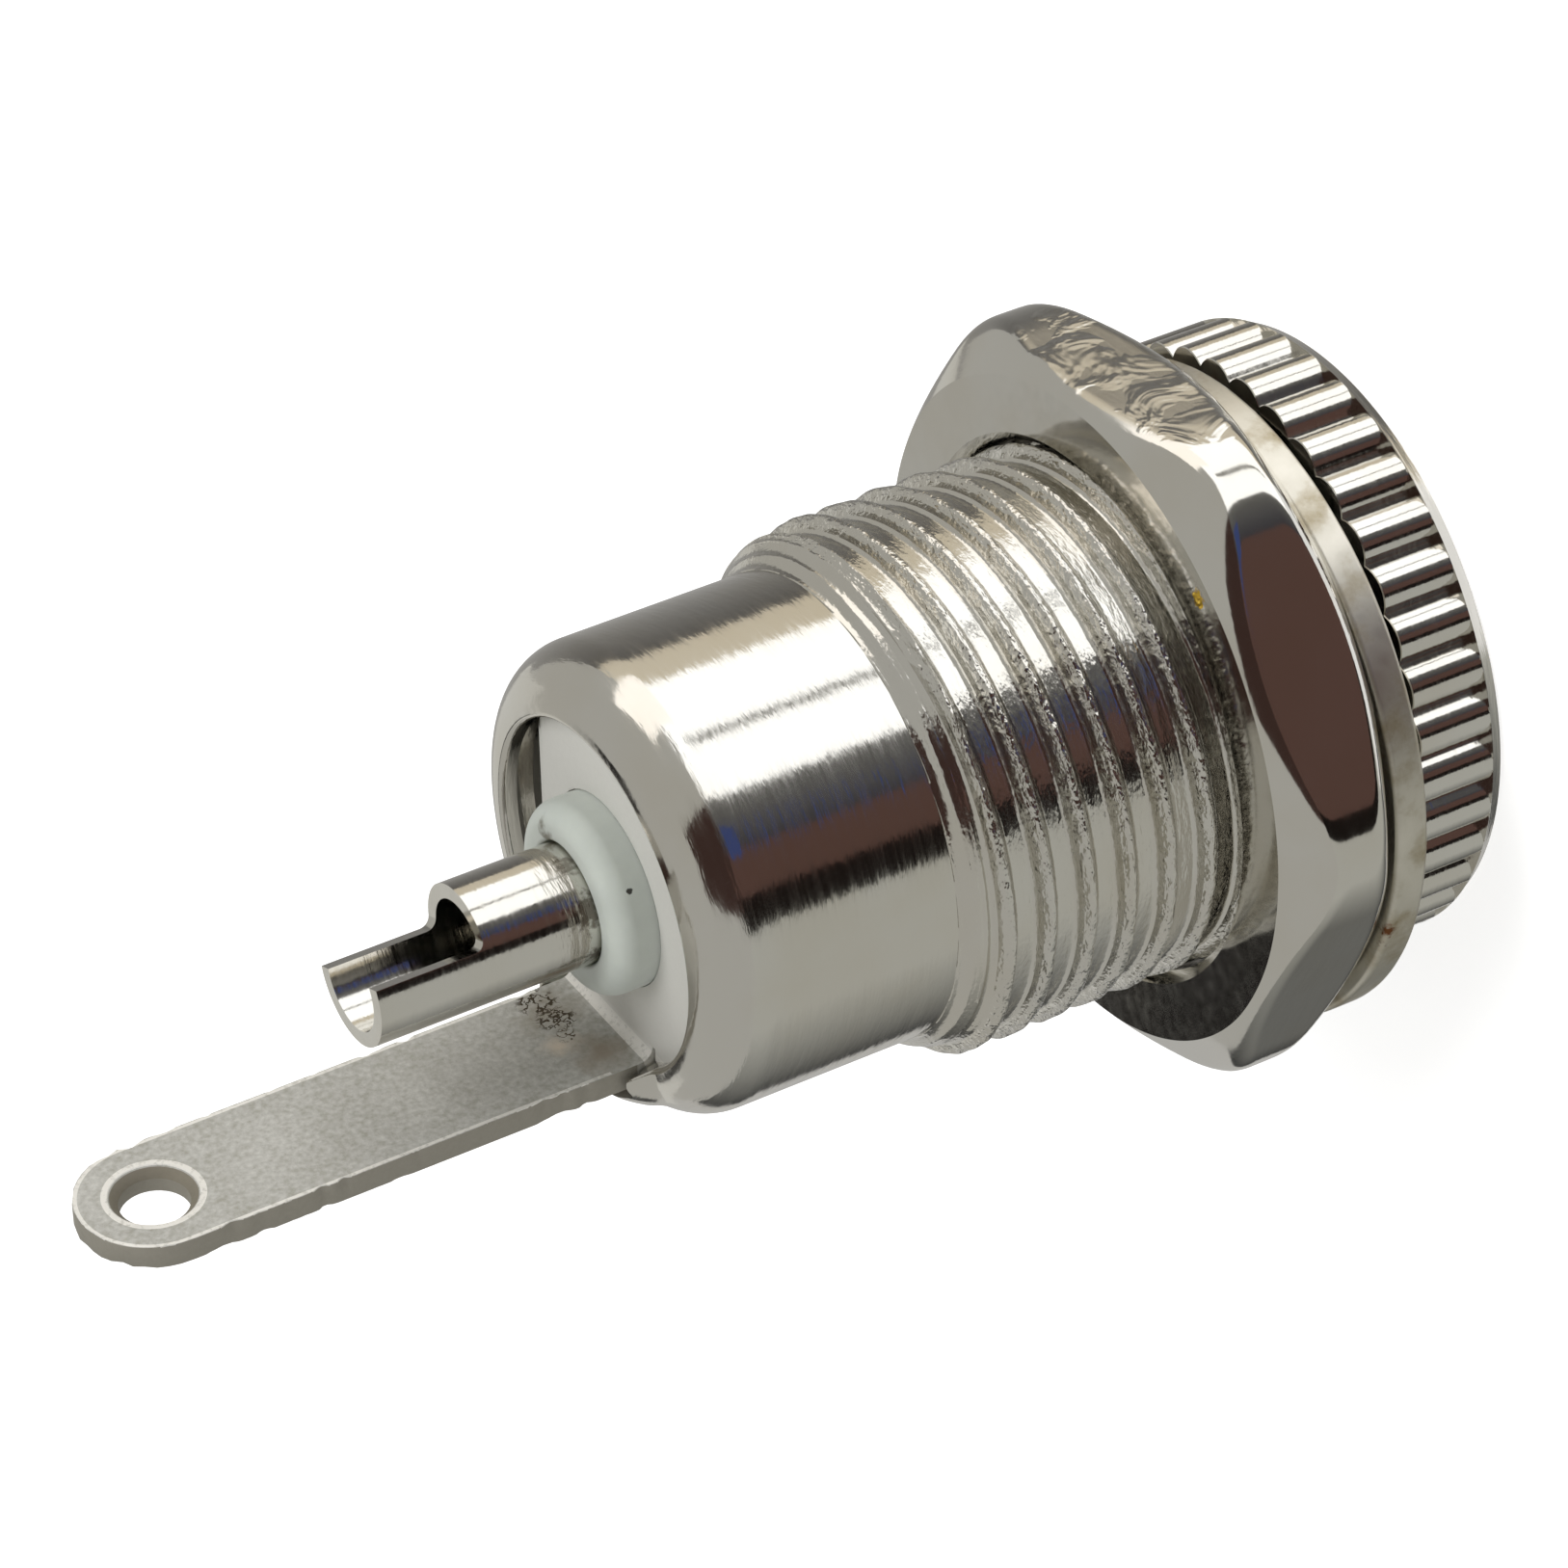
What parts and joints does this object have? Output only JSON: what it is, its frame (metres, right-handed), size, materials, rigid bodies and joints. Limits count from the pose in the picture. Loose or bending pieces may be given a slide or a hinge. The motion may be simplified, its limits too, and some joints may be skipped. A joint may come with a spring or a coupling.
{
  "type": "dc power jack",
  "caption": "Panel-mount dc power jack: fluted round head, threaded barrel with spring washer and hex nut, coaxial socket, rear solder cup and bent solder lug.",
  "frame": {"origin": "centre of the front face of the head, on the axis of the jack", "axes": "+Z along the axis from the socket's mouth towards the solder terminals, +X towards the ground lug, +Y away from the leaf contact"},
  "size_m": [0.015, 0.0158, 0.028],
  "materials": {
    "nickel_plated_brass": "polished",
    "nickel_plated_steel": "polished",
    "nylon": "satin",
    "satin_nickel_strip": "satin"
  },
  "bodies": {
    "jack": {"shell": "nickel_plated_brass", "insulator_bush": "nylon", "centre_contact": "nickel_plated_brass", "ground_contact": "satin_nickel_strip"},
    "washer": {"spring_washer": "nickel_plated_steel"},
    "nut": {"hex_nut": "nickel_plated_brass"}
  },
  "joints": [
    {"name": "washer_slide", "type": "slide", "parent": "jack", "child": "washer", "axis": [0, 0, 1], "range_m": [0, 0.00534]},
    {"name": "nut_turn", "type": "hinge", "parent": "washer", "child": "nut", "pos_m": [0, 0, 0.0044], "axis": [0, 0, 1], "range_deg": [0, 2088]}
  ],
  "couplings": [
    {"joint": "washer_slide", "follows": "nut_turn", "m_per_rad": 0.00014642}
  ]
}
